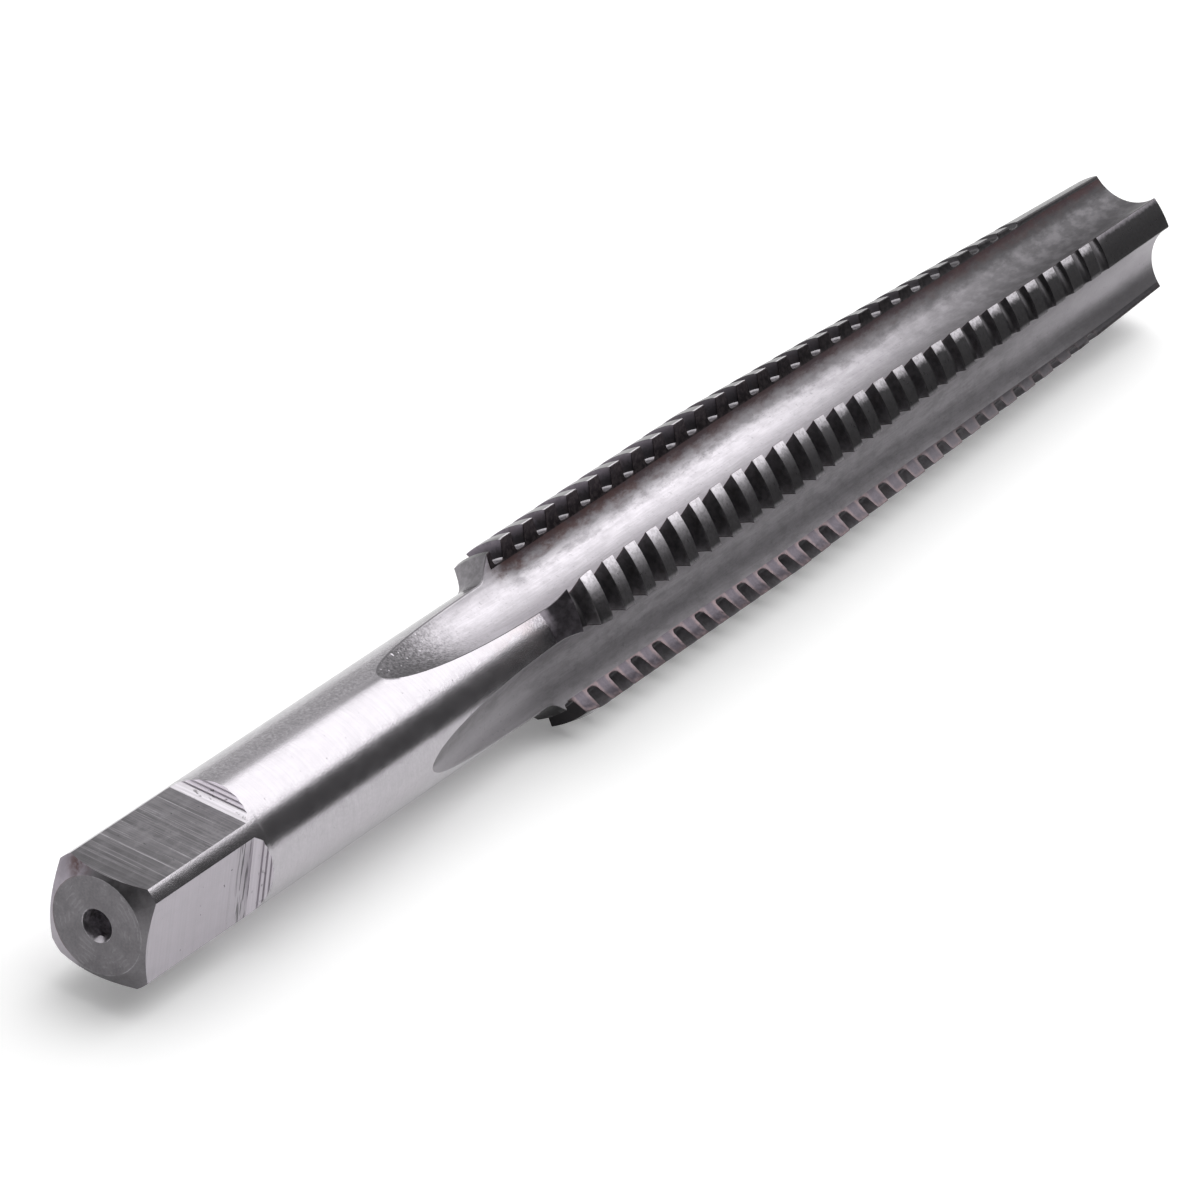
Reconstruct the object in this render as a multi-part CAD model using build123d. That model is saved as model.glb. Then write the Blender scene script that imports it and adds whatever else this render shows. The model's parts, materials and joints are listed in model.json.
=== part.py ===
from build123d import *
import math
import os

# overall, in millimetres: X runs from the drive end to the tip
LENGTH = 121.0
SHANK_R = 4.65
MAJOR_R = 6.65
TIP_DROP = 1.9

# drive end
END_CHAMFER = 0.7
CHAMFER_DROP = 1.3
SQUARE_SIDES = 4
FLAT_DEPTH = 1.025
FLAT_LENGTH = 10.85
FLAT_RUNOUT_R = 1.05
CENTRE_HOLE_R = 1.1
CENTRE_HOLE_DEPTH = 3.0
DRILL_POINT_DEG = 59.0

# shoulder between the shank and the threaded body
SHOULDER_X = 44.1
SHOULDER_FILLET = 1.1
SHOULDER_RUN = 1.2
RIDGE_DROP = 0.4
LEAD_IN = 2.0

# full diameter stretch, the rest tapers down to the tip
FULL_RUN = 24.2

# flutes, ground by a wheel that lifts out into the shank
FLUTES = 4
FLUTE_R = 3.25
CORE_R = 2.97
FLUTE_SET = 1.2
WHEEL_R = 79.0

# trapezoidal thread, one start
PITCH = 2.54
THREAD_DEPTH = 1.5
CREST = 1.1
FLANK_DEG = 7.0
LEFT_HAND = True
FIRST_GAP = 1.15
TIP_PLAIN = 9.0
ROOT_TAPER = 0.011
OVERRUN_DEG = 6.0
OVERCUT = 0.4

# sizes that follow from the ones above
flat_dist = SHANK_R - FLAT_DEPTH
face_r = SHANK_R - CHAMFER_DROP
ridge_r = MAJOR_R - RIDGE_DROP
tip_r = MAJOR_R - TIP_DROP
root_r = MAJOR_R - THREAD_DEPTH
ridge_x = SHOULDER_X + SHOULDER_RUN
full_x = ridge_x + LEAD_IN
taper_x = full_x + FULL_RUN
flute_x = SHOULDER_X + FLUTE_SET
flute_axis_r = CORE_R + FLUTE_R
flute_step = 360 / FLUTES
hand = -1 if LEFT_HAND else 1

# turned blank: half profile in the XY plane, revolved about X
profile = Polyline(
    (0, 0),
    (0, face_r),
    (END_CHAMFER, SHANK_R),
    (SHOULDER_X, SHANK_R),
    (ridge_x, ridge_r),
    (full_x, MAJOR_R),
    (taper_x, MAJOR_R),
    (LENGTH, tip_r),
    (LENGTH, 0),
    close=True,
)
section = make_face(profile)
corner = section.vertices().sort_by_distance((SHOULDER_X, SHANK_R))[0]
section = fillet(corner, SHOULDER_FILLET)
blank = revolve(section, Axis.X, 360)

# centre hole with the drill point left at its bottom
point_x = CENTRE_HOLE_DEPTH + CENTRE_HOLE_R / math.tan(math.radians(DRILL_POINT_DEG))
drill_profile = Polyline(
    (0, 0),
    (0, CENTRE_HOLE_R),
    (CENTRE_HOLE_DEPTH, CENTRE_HOLE_R),
    (point_x, 0),
    close=True,
)
hole = revolve(make_face(drill_profile), Axis.X, 360)

# drive flats: each ends in the round of the milling cutter
round_y = flat_dist + FLAT_RUNOUT_R
above_y = SHANK_R + FLAT_RUNOUT_R
mill_profile = Polyline(
    (-OVERCUT, flat_dist),
    (FLAT_LENGTH, flat_dist),
    (FLAT_LENGTH, round_y),
    (FLAT_LENGTH + FLAT_RUNOUT_R, round_y),
    (FLAT_LENGTH + FLAT_RUNOUT_R, above_y),
    (-OVERCUT, above_y),
    close=True,
)
mill_round = Pos(FLAT_LENGTH, round_y) * Circle(FLAT_RUNOUT_R)
mill = extrude(Plane.XY * (make_face(mill_profile) + mill_round), SHANK_R, both=True)
flats = [Rot(X=360 / SQUARE_SIDES * i) * mill for i in range(SQUARE_SIDES)]

# flutes: a round groove, straight to the tip and lifted out at the other end
groove = Plane.YZ.offset(flute_x) * Pos(flute_axis_r, 0) * Circle(FLUTE_R)
straight = extrude(groove, LENGTH - flute_x + OVERCUT)
wheel_axis = Axis((flute_x, CORE_R + WHEEL_R, 0), (0, 0, 1))
lift_height = MAJOR_R - CORE_R + OVERCUT
lift_deg = math.degrees(math.acos(1 - lift_height / WHEEL_R))
lift = revolve(groove, wheel_axis, -lift_deg)
flutes = [Rot(X=flute_step * i) * cut for i in range(FLUTES) for cut in (straight, lift)]

# thread gap: a short piece of the helix that crosses one land
chord = flute_axis_r**2 + MAJOR_R**2 - FLUTE_R**2
half_flute_deg = math.degrees(math.acos(chord / (2 * flute_axis_r * MAJOR_R)))
span = flute_step - 2 * half_flute_deg + 2 * OVERRUN_DEG
flank = math.tan(math.radians(FLANK_DEG))
outer_r = MAJOR_R + OVERCUT
half_gap = (PITCH - CREST) / 2
half_root = half_gap - THREAD_DEPTH * flank
half_outer = half_gap + OVERCUT * flank
trapezoid = make_face(
    Polyline(
        (root_r, 0, -half_root),
        (outer_r, 0, -half_outer),
        (outer_r, 0, half_outer),
        (root_r, 0, half_root),
        close=True,
    )
)
rise = PITCH * span / 360
path = Helix(PITCH, rise, root_r, lefthand=LEFT_HAND)
piece = sweep(trapezoid, path=path, is_frenet=True)
along_x = Plane(origin=(0, 0, 0), x_dir=(0, 1, 0), z_dir=(1, 0, 0))
cutter = along_x * Pos(0, 0, -rise / 2) * Rot(Z=-hand * span / 2) * piece

# one row of gaps per land, each row a fraction of the pitch further on;
# along the taper the gaps sink slowly towards the axis
last_x = LENGTH - TIP_PLAIN
gaps = []
for i in range(FLUTES):
    first_x = ridge_x + FIRST_GAP + hand * PITCH * i / FLUTES
    count = math.floor((last_x - first_x) / PITCH) + 1
    for n in range(count):
        gap_x = first_x + PITCH * n
        sink = ROOT_TAPER * max(0, gap_x - taper_x)
        gaps.append(Rot(X=flute_step * (i + 0.5)) * Pos(gap_x, -sink, 0) * cutter)

tap = blank - hole - flats - flutes - gaps

os.makedirs("parts", exist_ok=True)
export_step(tap, "parts/tap.step")
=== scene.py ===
import math

import bmesh
import bpy
import numpy as np
from mathutils import Matrix, Vector
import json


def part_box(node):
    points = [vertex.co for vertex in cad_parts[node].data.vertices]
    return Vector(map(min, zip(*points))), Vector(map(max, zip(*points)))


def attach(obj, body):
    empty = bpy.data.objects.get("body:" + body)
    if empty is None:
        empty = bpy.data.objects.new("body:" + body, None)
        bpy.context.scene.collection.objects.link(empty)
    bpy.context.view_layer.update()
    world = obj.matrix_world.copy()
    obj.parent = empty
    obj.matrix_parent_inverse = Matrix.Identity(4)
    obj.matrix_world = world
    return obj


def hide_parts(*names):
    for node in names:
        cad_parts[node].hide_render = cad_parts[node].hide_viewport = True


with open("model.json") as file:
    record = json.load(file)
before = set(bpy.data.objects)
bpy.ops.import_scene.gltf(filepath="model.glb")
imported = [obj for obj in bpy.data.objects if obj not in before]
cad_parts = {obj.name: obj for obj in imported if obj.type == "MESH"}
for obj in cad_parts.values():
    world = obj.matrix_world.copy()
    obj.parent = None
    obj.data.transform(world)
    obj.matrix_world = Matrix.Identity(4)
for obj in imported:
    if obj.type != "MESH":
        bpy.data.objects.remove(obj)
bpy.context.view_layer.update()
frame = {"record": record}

# the form is worked out in millimetres, Blender gets metres
MM = 0.001
low_corner, high_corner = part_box("tap")
mounts = {m["name"]: m for m in frame["record"]["mounts"]}

# turned blank
LENGTH = high_corner[0] / MM
SHANK_R = mounts["shank"]["dims"]["r_mm"]
MAJOR_R = 6.65
TIP_R = 4.75
END_FACE_R = 3.35
END_CHAMFER = 0.7
SHOULDER_X = 44.1
RIDGE_X = 45.3
RIDGE_R = 6.25
FULL_X = 47.3
TAPER_X = 71.5
SHOULDER_FILLET = 1.1
EDGE_ROUND = 0.06
OUTLINE_X = [0, END_CHAMFER, SHOULDER_X, RIDGE_X, FULL_X, TAPER_X, LENGTH]
OUTLINE_R = [END_FACE_R, SHANK_R, SHANK_R, RIDGE_R, MAJOR_R, MAJOR_R, TIP_R]

# drive end
FLAT_DIST = mounts["drive_flat_top"]["pos_m"][2] / MM
FLAT_LENGTH = 10.85
TREAD_SLOPE = 0.46
STEEP_SLOPE = 0.83
RUNOUT_STEPS = (0.62, 0.78, 0.94)
STEP_RISE = 0.12
STEP_RUN = 0.01
HOLE_R = mounts["centre_hole"]["dims"]["r_mm"]
HOLE_DEPTH = mounts["centre_hole"]["dims"]["length_mm"]
DRILL_POINT_DEG = 59.0
BURR_X = 0.35
BURR_DEG = 257.0
BURR_WIDE_DEG = 20.0
BURR_HEIGHT = 0.28
HOLE_BREAK = 0.05
HOLE_RIM = 0.12
FACE_RINGS = (0.8, 0.55)

# flutes: the wheel's round, and the arc on which it lifts out into the shank
FLUTES = 4
FLUTE_R = 3.25
CORE_R = 2.97
FLUTE_X = 45.3
WHEEL_R = 79.0

# thread: left hand, gaps between teeth with rounded root corners and broken crest edges
PITCH = 2.54
HAND = -1
THREAD_DEPTH = 1.5
CREST = 1.1
FLANK_SLOPE = math.tan(math.radians(7.0))
FIRST_GAP = 1.15
TIP_PLAIN = 9.0
ROOT_TAPER = 0.011
ROOT_ROUND = 0.3
CREST_ROUND = 0.2
LAND_RELIEF = 0.16
FLANK_RELIEF = 0.05
LAND_HALF_DEG = 16.0
LAND_BEVEL = 0.05

# mesh rows from a land's middle to the middle of the flute beside it: the land with its corner
# strip, the end of the teeth down to just below the thread's floor, and the rest of the flute
LAND_ROWS = 11
STRIP_ROWS = 7
FACE_ROWS = 3
FLOOR_ROWS = 7
STRIP_SPREAD = 1.4
FACE_BELOW_ROOT = 0.12
FACE_SHARE = 0.85
BEVEL_SHARE = 0.25
TINY = 1e-6

quarter = 360 / FLUTES
flute_axis_r = CORE_R + FLUTE_R
root_r = MAJOR_R - THREAD_DEPTH
half_root = (PITCH - CREST) / 2 - THREAD_DEPTH * FLANK_SLOPE
runout_drop = SHANK_R - CORE_R
runout_x = FLUTE_X - math.sqrt(WHEEL_R**2 - (WHEEL_R - runout_drop) ** 2)
steep_rise = (STEEP_SLOPE - TREAD_SLOPE) * RUNOUT_STEPS[0] - STEP_RISE * len(RUNOUT_STEPS)
flat_end_x = FLAT_LENGTH + (SHANK_R - FLAT_DIST + steep_rise) / STEEP_SLOPE
strip_end_x = flat_end_x + STRIP_SPREAD
flank_angle = math.atan(FLANK_SLOPE)


# shape of the turned blank, its flats and its flutes

def fillet_points():
    """Where the fillet between the shank and the shoulder cone starts and ends."""
    cone = math.atan2(RIDGE_R - SHANK_R, RIDGE_X - SHOULDER_X)
    reach = SHOULDER_FILLET * math.tan(cone / 2)
    return SHOULDER_X - reach, SHOULDER_X + reach * math.cos(cone)


fillet_start, fillet_end = fillet_points()


def blank_radius(x):
    """Radius of the turned blank at x."""
    r = np.interp(x, OUTLINE_X, OUTLINE_R)
    inside = np.clip(x - fillet_start, 0, SHOULDER_FILLET)
    round_r = SHANK_R + SHOULDER_FILLET - np.sqrt(SHOULDER_FILLET**2 - inside**2)
    return np.where((x > fillet_start) & (x < fillet_end), round_r, r)


def flat_height(x):
    """Distance of a drive flat from the axis at x; at its end it climbs in the treads the cutter left."""
    inside = np.maximum(x - FLAT_LENGTH, 0)
    steep = np.maximum(inside - RUNOUT_STEPS[0], 0)
    height = FLAT_DIST + TREAD_SLOPE * inside + (STEEP_SLOPE - TREAD_SLOPE) * steep
    for start in RUNOUT_STEPS:
        height = height + STEP_RISE * np.clip((inside - start) / STEP_RUN, 0, 1)
    return np.where(x > flat_end_x - TINY, SHANK_R, height)


def flute_centre(x):
    """Distance from the axis to the centre of the flute's round at x."""
    before = np.clip(FLUTE_X - x, 0, FLUTE_X - runout_x)
    return flute_axis_r + WHEEL_R - np.sqrt(WHEEL_R**2 - before**2)


def arc_angle(centre, r):
    """Angle on the flute's round, from its bottom, where it is r away from the tool's axis."""
    cosine = (centre**2 + FLUTE_R**2 - r**2) / (2 * centre * FLUTE_R)
    return np.arccos(np.clip(cosine, -1, 1))


def gap_axis(land, degrees):
    """Place of a land's first thread gap, at an angle from the land's middle."""
    return RIDGE_X + FIRST_GAP + HAND * PITCH * (land / FLUTES + degrees / 360)


def gap_count(land):
    """How many thread gaps a land has."""
    return math.floor((LENGTH - TIP_PLAIN - gap_axis(land, 0)) / PITCH) + 1


most_gaps = max(gap_count(land) for land in range(FLUTES))


def relief(degrees):
    """How far the land has fallen away behind its cutting edge, from 0 to 1."""
    return 1 - np.clip((LAND_HALF_DEG - degrees) / (2 * LAND_HALF_DEG), 0, 1) ** 2


def root_half_width(degrees):
    """Half the width of a gap's floor, which widens a little behind the cutting edge."""
    return half_root - FLANK_RELIEF * (1 - relief(degrees))


def root_radius(gap_x):
    """Radius of the gaps' floor, which sinks slowly along the taper."""
    return root_r - ROOT_TAPER * np.maximum(0, gap_x - TAPER_X)


def round_centre(half):
    """Distance from a gap's middle to the centre of the round in its root corner."""
    return half + ROOT_ROUND * FLANK_SLOPE - ROOT_ROUND / math.cos(flank_angle)


def wall_radius(x, land, degrees):
    """Radius of the thread gap's floor, root round and flank at x."""
    first = gap_axis(land, degrees)
    number = np.clip(np.round((x - first) / PITCH), 0, gap_count(land) - 1)
    middle = first + number * PITCH
    aside = np.abs(x - middle)
    half = root_half_width(degrees)
    centre = round_centre(half)
    flank_start = centre + ROOT_ROUND * math.cos(flank_angle)
    inside = np.clip(aside - centre, 0, ROOT_ROUND)
    round_h = ROOT_ROUND - np.sqrt(ROOT_ROUND**2 - inside**2)
    flank_h = (aside - half) / FLANK_SLOPE
    return root_radius(middle) + np.where(aside < flank_start, round_h, flank_h)


def crest_radius(x, degrees):
    """Radius of the land without its gaps, with the relief behind the cutting edge."""
    relieved = np.clip((x - fillet_end) / (RIDGE_X - fillet_end), 0, 1) * LAND_RELIEF * relief(degrees)
    return blank_radius(x) - relieved


def land_radius(x, land, degrees):
    """Radius of a land's surface, teeth and gaps, at x and an angle from the land's middle."""
    top = crest_radius(x, degrees)
    wall = wall_radius(x, land, degrees)
    near = np.maximum(CREST_ROUND - np.abs(top - wall), 0)
    return np.where(x > fillet_start, np.minimum(top, wall) - near**2 / (4 * CREST_ROUND), top)


# mesh columns along the tool

# how often a crest's edge is found anew, and where the outline of a thread gap bends
CREST_TRIES = 3
ROUND_TURNS_DEG = (0, 30, 58, 83)
EDGE_BENDS = (-1, -0.35, 0.35, 1)

# places and distances in millimetres of the fixed columns, and how many steps lie between two places
SHANK_PLACES = (1.2, 4, 7)
BEFORE_FLAT_END = (0.07, 0.03, 0.01)
AFTER_FLAT_END = (0.01, 0.03, 0.1, 0.25, 0.5, 0.9, 1.4, 2.2, 4, 8, 12)
BEFORE_TIP = (6, 3, 1, EDGE_ROUND, 0)
FACE_PLACE = 0.02
CONE_PLACE = 0.65
FLAT_END_STEPS = 8
LIFT_STEPS = 22
FILLET_STEPS = 4


def gap_offsets(degrees, middle, side):
    """Distances from a gap's middle at which its outline bends, on one side."""
    half = root_half_width(degrees)
    crest = half
    for _ in range(CREST_TRIES):
        rise = crest_radius(middle + side * crest, degrees) - root_radius(middle)
        crest = half + max(rise, 0) * FLANK_SLOPE
    near = CREST_ROUND * FLANK_SLOPE
    centre = round_centre(half)
    rounds = [centre + ROOT_ROUND * math.sin(math.radians(turn)) for turn in ROUND_TURNS_DEG]
    return rounds + [crest + bend * near for bend in EDGE_BENDS]


def fixed_columns():
    """Columns that lie square to the axis: drive end, shank, run-outs, shoulder and tip."""
    columns = [0, FACE_PLACE, END_CHAMFER * 0.5, END_CHAMFER, END_CHAMFER + EDGE_ROUND, *SHANK_PLACES]
    columns += np.linspace(FLAT_LENGTH, flat_end_x, FLAT_END_STEPS + 1).tolist()
    columns += [FLAT_LENGTH + start + run for start in RUNOUT_STEPS for run in (0, STEP_RUN)]
    columns += [flat_end_x - gap for gap in BEFORE_FLAT_END]
    columns += [flat_end_x + gap for gap in AFTER_FLAT_END]
    columns += [runout_x + (fillet_start - runout_x) * (t / LIFT_STEPS) ** 2 for t in range(LIFT_STEPS)]
    columns += np.linspace(fillet_start, fillet_end, FILLET_STEPS + 1).tolist()
    columns += [SHOULDER_X + CONE_PLACE, RIDGE_X - EDGE_ROUND, RIDGE_X, RIDGE_X + EDGE_ROUND, FULL_X]
    columns += [LENGTH - gap for gap in BEFORE_TIP]
    return sorted(columns)


def column_places(land, degrees):
    """Every column's x on one row, in order."""
    places = fixed_columns()
    for number in range(most_gaps):
        middle = gap_axis(land, degrees) + number * PITCH
        places += [middle, middle + PITCH / 2]
        for side in (-1, 1):
            places += [middle + side * offset for offset in gap_offsets(degrees, middle, side)]
    return np.minimum(np.sort(np.array(places)), LENGTH)


# columns in the middle of the flutes: the mean of the four lands' own
common_places = sum(column_places(land, 0) for land in range(FLUTES)) / FLUTES

# the column in which the end chamfer ends
CHAMFER_COLUMN = 3


def flat_columns(places, degrees):
    """Moves one column to where the end chamfer runs out into a drive flat, and one halfway there."""
    flat_r = FLAT_DIST / math.cos(math.radians(quarter / 2 - min(abs(degrees), quarter / 2)))
    meets = min((flat_r - END_FACE_R) / (SHANK_R - END_FACE_R), 1) * END_CHAMFER
    moved = places.copy()
    moved[CHAMFER_COLUMN - 2] = meets * 0.5
    moved[CHAMFER_COLUMN - 1] = meets
    return moved


def land_angles(places, edge_deg, row):
    """Angle of one row on each column: even on round stretches, gathered at the flats' corners."""
    share = row / LAND_ROWS
    height = flat_height(places)
    corner = quarter / 2 - np.degrees(np.arccos(np.clip(height / SHANK_R, -1, 1)))
    after = np.clip((places - flat_end_x) / STRIP_SPREAD, 0, 1)
    even = edge_deg * STRIP_ROWS / LAND_ROWS
    corner = np.where(places > flat_end_x, corner + (even - corner) * np.sqrt(after), corner)
    inner = corner * row / STRIP_ROWS
    outer = corner + (edge_deg - corner) * (row - STRIP_ROWS) / (LAND_ROWS - STRIP_ROWS)
    gathered = np.where(row <= STRIP_ROWS, inner, outer)
    return np.where(places > strip_end_x, edge_deg * share, gathered)


def base_angle(places):
    """Angle on the flute's round down to which the ends of the teeth reach."""
    centre = flute_centre(places)
    below_root = arc_angle(centre, root_radius(places) - FACE_BELOW_ROOT)
    return np.minimum(FACE_SHARE * arc_angle(centre, blank_radius(places)), below_root)


def quarter_rows(land, side):
    """Rows of points from a land's middle to the flute's middle, on one side: x, out, aside, depth."""
    edge_nominal = side * LAND_HALF_DEG
    edge_places = column_places(land, edge_nominal)
    edge_r = land_radius(edge_places, land, edge_nominal)
    centre = flute_centre(edge_places)
    fluted = edge_places > runout_x + TINY
    arc_end = arc_angle(centre, edge_r)
    flute_depth = np.maximum(edge_r - (centre - FLUTE_R), 0)
    bevel = np.minimum(LAND_BEVEL, BEVEL_SHARE * flute_depth)
    flute_deg = np.degrees(np.arctan2(FLUTE_R * np.sin(arc_end), centre - FLUTE_R * np.cos(arc_end)))
    edge_deg = np.where(fluted, quarter / 2 - flute_deg - np.degrees(bevel / edge_r), quarter / 2)

    rows = []
    for row in range(LAND_ROWS + 1):
        nominal = edge_nominal * row / LAND_ROWS
        places = column_places(land, nominal)
        radius = land_radius(places, land, nominal)
        angles = land_angles(places, edge_deg, row)
        drive = places < flat_end_x - TINY
        corner_deg = float(angles[CHAMFER_COLUMN])
        places = np.where(drive, flat_columns(places, corner_deg), places)
        flat_r = flat_height(places) / np.cos(np.radians(quarter / 2 - angles))
        chamfer_r = np.where(drive, blank_radius(places), radius)
        radius = np.where(drive, np.minimum(chamfer_r, flat_r), radius)
        turn = np.radians(quarter / 2 - angles)
        depth = np.where(places > fillet_start, crest_radius(places, nominal) - radius, 0)
        rows.append((places, radius * np.cos(turn), radius * np.sin(turn), depth))

    last = rows[-1]
    base_arc = base_angle(edge_places)
    face_arc = arc_angle(centre, edge_r - bevel)
    for row in range(FACE_ROWS + 1):
        arc = face_arc + (base_arc - face_arc) * row / FACE_ROWS
        rows.append(flute_row(edge_places, centre, arc, fluted, last))
    for row in range(1, FLOOR_ROWS + 1):
        share = row / FLOOR_ROWS
        places = edge_places + (common_places - edge_places) * share
        open_here = places > runout_x + TINY
        arc = base_angle(places) * (1 - share)
        rows.append(flute_row(places, flute_centre(places), arc, open_here, last))
    return rows


def flute_row(places, centre, arc, fluted, last):
    """A row on the flute's round; before the run-out it falls together with the land's last row."""
    out = np.where(fluted, centre - FLUTE_R * np.cos(arc), last[1])
    aside = np.where(fluted, FLUTE_R * np.sin(arc), last[2])
    return np.where(fluted, places, last[0]), out, aside, last[3]


def turned(row, side, land):
    """Points of a row in the tool's frame: out is towards the flute beside the land."""
    places, out, aside = row[:3]
    flute = math.radians(quarter * (land + 0.5 + side / 2))
    across = -side * aside
    y = out * math.cos(flute) - across * math.sin(flute)
    z = out * math.sin(flute) + across * math.cos(flute)
    return np.stack([places, y, z], axis=1)


# what each face of the mesh is made of

ZONES = ["shank", "flat", "runout", "chamfer", "end_face", "hole", "shoulder", "flute", "tooth_face"]
ZONES += ["crest", "flank", "root", "tip"]
LAND, FACE, FLOOR = range(3)

# how deep in a gap its flank starts, how far above its floor the flank ends, and what counts as on a flat
NOTCH_DEPTH = 0.05
ROOT_HEIGHT = 0.12
FLAT_NEARNESS = 0.01


def row_kinds():
    """What each strip of faces between two rows belongs to, over one land and its two half flutes."""
    side = [LAND] * LAND_ROWS + [FACE] * (FACE_ROWS + 1) + [FLOOR] * FLOOR_ROWS
    return side[::-1] + side


def zones_of(kind, middle, radius, depth):
    """Zone of every face, from the row it is in, its place along the tool and its depth."""
    x = middle[:, 0]
    reach = np.abs(middle[:, 1:]).max(axis=1)
    drive = x < flat_end_x
    on_flat = drive & (reach > flat_height(x) - FLAT_NEARNESS)
    land = kind == LAND
    low = radius < root_radius(x) + ROOT_HEIGHT
    cases = [
        (on_flat & (x < FLAT_LENGTH), "flat"),
        (on_flat, "runout"),
        (drive & (x < END_CHAMFER), "chamfer"),
        (x < runout_x, "shank"),
        (~land & (kind == FACE) & (x > RIDGE_X), "tooth_face"),
        (~land, "flute"),
        ((depth > NOTCH_DEPTH) & low, "root"),
        (depth > NOTCH_DEPTH, "flank"),
        (x > RIDGE_X, "crest"),
        (x > fillet_start, "shoulder"),
    ]
    tests, names = zip(*cases)
    return np.select(tests, [ZONES.index(name) for name in names], ZONES.index("shank"))


def tool_mesh():
    """Points of the tool's outside as a closed grid of rows and columns, its faces and their zones."""
    rings = []
    names = ("depth", "across", "wall", "down", "beside")
    lists = {name: [] for name in names}
    for land in range(FLUTES):
        for side in (-1, 1):
            rows = quarter_rows(land, side)
            order = range(len(rows) - 1, -1, -1) if side < 0 else range(1, len(rows) - 1)
            for index in order:
                places, _, _, depth = rows[index]
                across = side * min(index / LAND_ROWS, 1)
                near = gap_nearness(places, land, across)
                rings.append(turned(rows[index], side, land))
                values = (depth, across, side * wall_share(index), face_share(index), near)
                for name, value in zip(names, values):
                    lists[name].append(np.broadcast_to(value, places.shape))
    grid = np.array(rings)
    rows, columns = grid.shape[:2]
    points = grid.reshape(-1, 3)
    marks = {name: np.array(values).reshape(-1) for name, values in lists.items()}
    depth = marks["depth"]
    radius = np.hypot(points[:, 1], points[:, 2])

    index = np.arange(rows * columns).reshape(rows, columns)
    here = index[:, :-1]
    along = index[:, 1:]
    quads = np.stack([here, np.roll(here, -1, 0), np.roll(along, -1, 0), along], axis=2).reshape(-1, 4)
    kinds = np.repeat(np.array(row_kinds() * FLUTES), columns - 1)
    middles = [values[quads].mean(axis=1) for values in (points, radius, depth)]
    zones = zones_of(kinds, *middles)
    return points, marks, quads, zones, index


def wall_share(index):
    """How near a flute's row lies to the land's edge: 1 at the edge, 0 at the flute's middle."""
    floor_row = index - LAND_ROWS - FACE_ROWS - 1
    return 1 - max(floor_row, 0) / FLOOR_ROWS if index > LAND_ROWS else 1.0


def face_share(index):
    """How far down a tooth's end a row lies: 0 at the crest's edge, 1 at the flute's floor and beyond."""
    return min(max(index - LAND_ROWS - 1, 0) / FACE_ROWS, 1)


def gap_nearness(places, land, across):
    """1 in a thread gap, falling to 0 at the middle of the tooth beside it."""
    first = gap_axis(land, across * LAND_HALF_DEG)
    aside = np.abs((places - first + PITCH / 2) % PITCH - PITCH / 2)
    opening = (PITCH - CREST) / 2
    return np.clip((PITCH / 2 - aside) / (PITCH / 2 - opening), 0, 1)


def burr_radius(angle):
    """Radius of the centre hole just inside its mouth, where a burr stands in from the wall."""
    aside = (np.degrees(angle) - BURR_DEG + 180) % 360 - 180
    return HOLE_R - BURR_HEIGHT * np.exp(-((aside / BURR_WIDE_DEG) ** 2))


def end_rings(points, index):
    """Faces that close both ends: a flat tip, and the drive end with its drilled centre hole."""
    rows = index.shape[0]
    point_x = HOLE_DEPTH + HOLE_R / math.tan(math.radians(DRILL_POINT_DEG))
    start = points[index[:, 0]]
    angle = np.arctan2(start[:, 2], start[:, 1])
    rings = [(0.0, END_FACE_R * share, "end_face") for share in FACE_RINGS]
    rings += [(0.0, HOLE_R + HOLE_RIM, "end_face"), (0.0, HOLE_R + HOLE_BREAK, "end_face")]
    rings += [(HOLE_BREAK, HOLE_R, "hole"), (BURR_X, burr_radius(angle), "hole")]
    rings += [(2 * BURR_X, HOLE_R, "hole"), (HOLE_DEPTH * 0.5, HOLE_R, "hole")]
    rings += [(HOLE_DEPTH, HOLE_R, "hole"), (point_x, None, "hole")]
    extra = []
    faces = []
    zones = []
    last = index[:, 0]
    count = len(points)
    for x, r, zone in rings:
        if r is not None:
            ring = np.stack([np.full(rows, x), r * np.cos(angle), r * np.sin(angle)], axis=1)
            extra.append(ring)
            here = np.arange(count, count + rows)
            count += rows
        else:
            extra.append(np.array([[x, 0.0, 0.0]]))
            here = np.full(rows, count)
            count += 1
        faces += [list(f) for f in np.stack([last, here, np.roll(here, -1), np.roll(last, -1)], axis=1)]
        zones += [ZONES.index(zone)] * rows
        last = here
    tip = index[:, -1]
    extra.append(np.array([[LENGTH, 0.0, 0.0]]))
    middle = np.full(rows, count)
    faces += [list(f) for f in np.stack([tip, np.roll(tip, -1), middle, middle], axis=1)]
    zones += [ZONES.index("tip")] * rows
    return np.concatenate(extra), faces, zones


def clean_face(face):
    """The face without repeated corners, or nothing if it has collapsed."""
    kept = []
    for corner in face:
        if corner not in kept:
            kept.append(corner)
    return kept if len(kept) > 2 else None


# angles from which an edge is sharp, within a zone and between two, and the digits at which points merge
PLAIN_EDGE_DEG = 42
ZONE_EDGE_DEG = 20
MERGE_DIGITS = 5


def mark_edges(mesh):
    """Sharp edges: steep ones, and milder ones where two zones meet."""
    shape = bmesh.new()
    shape.from_mesh(mesh)
    for edge in shape.edges:
        if len(edge.link_faces) != 2:
            continue
        one, other = edge.link_faces
        angle = math.degrees(one.normal.angle(other.normal, 0.0))
        limit = ZONE_EDGE_DEG if one.material_index != other.material_index else PLAIN_EDGE_DEG
        edge.smooth = angle < limit
    shape.to_mesh(mesh)
    shape.free()


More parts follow.
